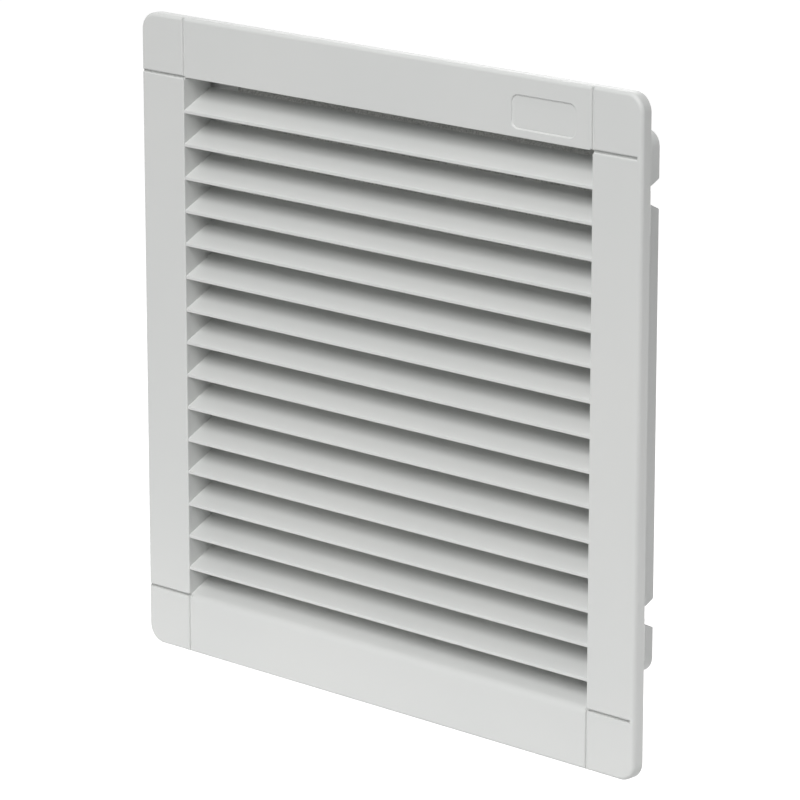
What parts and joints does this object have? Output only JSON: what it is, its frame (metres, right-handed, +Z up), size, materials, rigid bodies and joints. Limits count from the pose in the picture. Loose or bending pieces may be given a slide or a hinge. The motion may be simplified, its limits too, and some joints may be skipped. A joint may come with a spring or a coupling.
{
  "type": "emc exhaust filter",
  "caption": "Square louvred exhaust filter for an enclosure wall: snap-off cover, filter mat and a wire screen bonded to the cut-out by spring fingers.",
  "frame": {"origin": "centre of the panel cut-out, on the panel's outer face", "axes": "+X to the right seen from outside, +Z up, +Y into the enclosure; the louvres face -Y"},
  "size_m": [0.25, 0.048, 0.25],
  "materials": {
    "grey_plastic": "light grey moulded plastic, fine satin",
    "mat_fibre": "white bonded synthetic fibre",
    "black_foam": "closed-cell foam",
    "stainless_wire": "fine wire cloth",
    "zinc_plated_sheet": "bright zinc plate",
    "spring_steel": "rolled spring steel"
  },
  "bodies": {
    "frame": {"rear_frame": "grey_plastic", "panel_gasket": "black_foam", "shield_mesh": "stainless_wire", "shield_frame": "zinc_plated_sheet", "contact_strip_top": "spring_steel", "contact_strip_bottom": "spring_steel", "contact_strip_left": "spring_steel", "contact_strip_right": "spring_steel", "shield_screw_top_left": "zinc_plated_sheet", "shield_screw_top_right": "zinc_plated_sheet", "shield_screw_bottom_left": "zinc_plated_sheet", "shield_screw_bottom_right": "zinc_plated_sheet", "clip_pin_top_left": "zinc_plated_sheet", "clip_pin_top_right": "zinc_plated_sheet", "clip_pin_bottom_left": "zinc_plated_sheet", "clip_pin_bottom_right": "zinc_plated_sheet"},
    "cover": {"front_cover": "grey_plastic"},
    "mat": {"filter_mat": "mat_fibre"},
    "clip_top_left": {"panel_clip_top_left": "spring_steel"},
    "clip_top_right": {"panel_clip_top_right": "spring_steel"},
    "clip_bottom_left": {"panel_clip_bottom_left": "spring_steel"},
    "clip_bottom_right": {"panel_clip_bottom_right": "spring_steel"}
  },
  "joints": [
    {"name": "cover_pull", "type": "slide", "parent": "frame", "child": "cover", "axis": [0, -1, 0], "range_m": [0, 0.09]},
    {"name": "mat_pull", "type": "slide", "parent": "frame", "child": "mat", "axis": [0, -1, 0], "range_m": [0, 0.045]},
    {"name": "clip_swing_top_left", "type": "hinge", "parent": "frame", "child": "clip_top_left", "pos_m": [-0.107, 0.0164, 0.0784], "axis": [0, 0, 1], "range_deg": [0, 15], "stiffness_Nm_per_rad": 0.05},
    {"name": "clip_swing_top_right", "type": "hinge", "parent": "frame", "child": "clip_top_right", "pos_m": [0.107, 0.0164, 0.0784], "axis": [0, 0, -1], "range_deg": [0, 15], "stiffness_Nm_per_rad": 0.05},
    {"name": "clip_swing_bottom_left", "type": "hinge", "parent": "frame", "child": "clip_bottom_left", "pos_m": [-0.107, 0.0164, -0.0784], "axis": [0, 0, 1], "range_deg": [0, 15], "stiffness_Nm_per_rad": 0.05},
    {"name": "clip_swing_bottom_right", "type": "hinge", "parent": "frame", "child": "clip_bottom_right", "pos_m": [0.107, 0.0164, -0.0784], "axis": [0, 0, -1], "range_deg": [0, 15], "stiffness_Nm_per_rad": 0.05}
  ],
  "couplings": [
    {"joint": "mat_pull", "follows": "cover_pull", "ratio": 0.5}
  ]
}
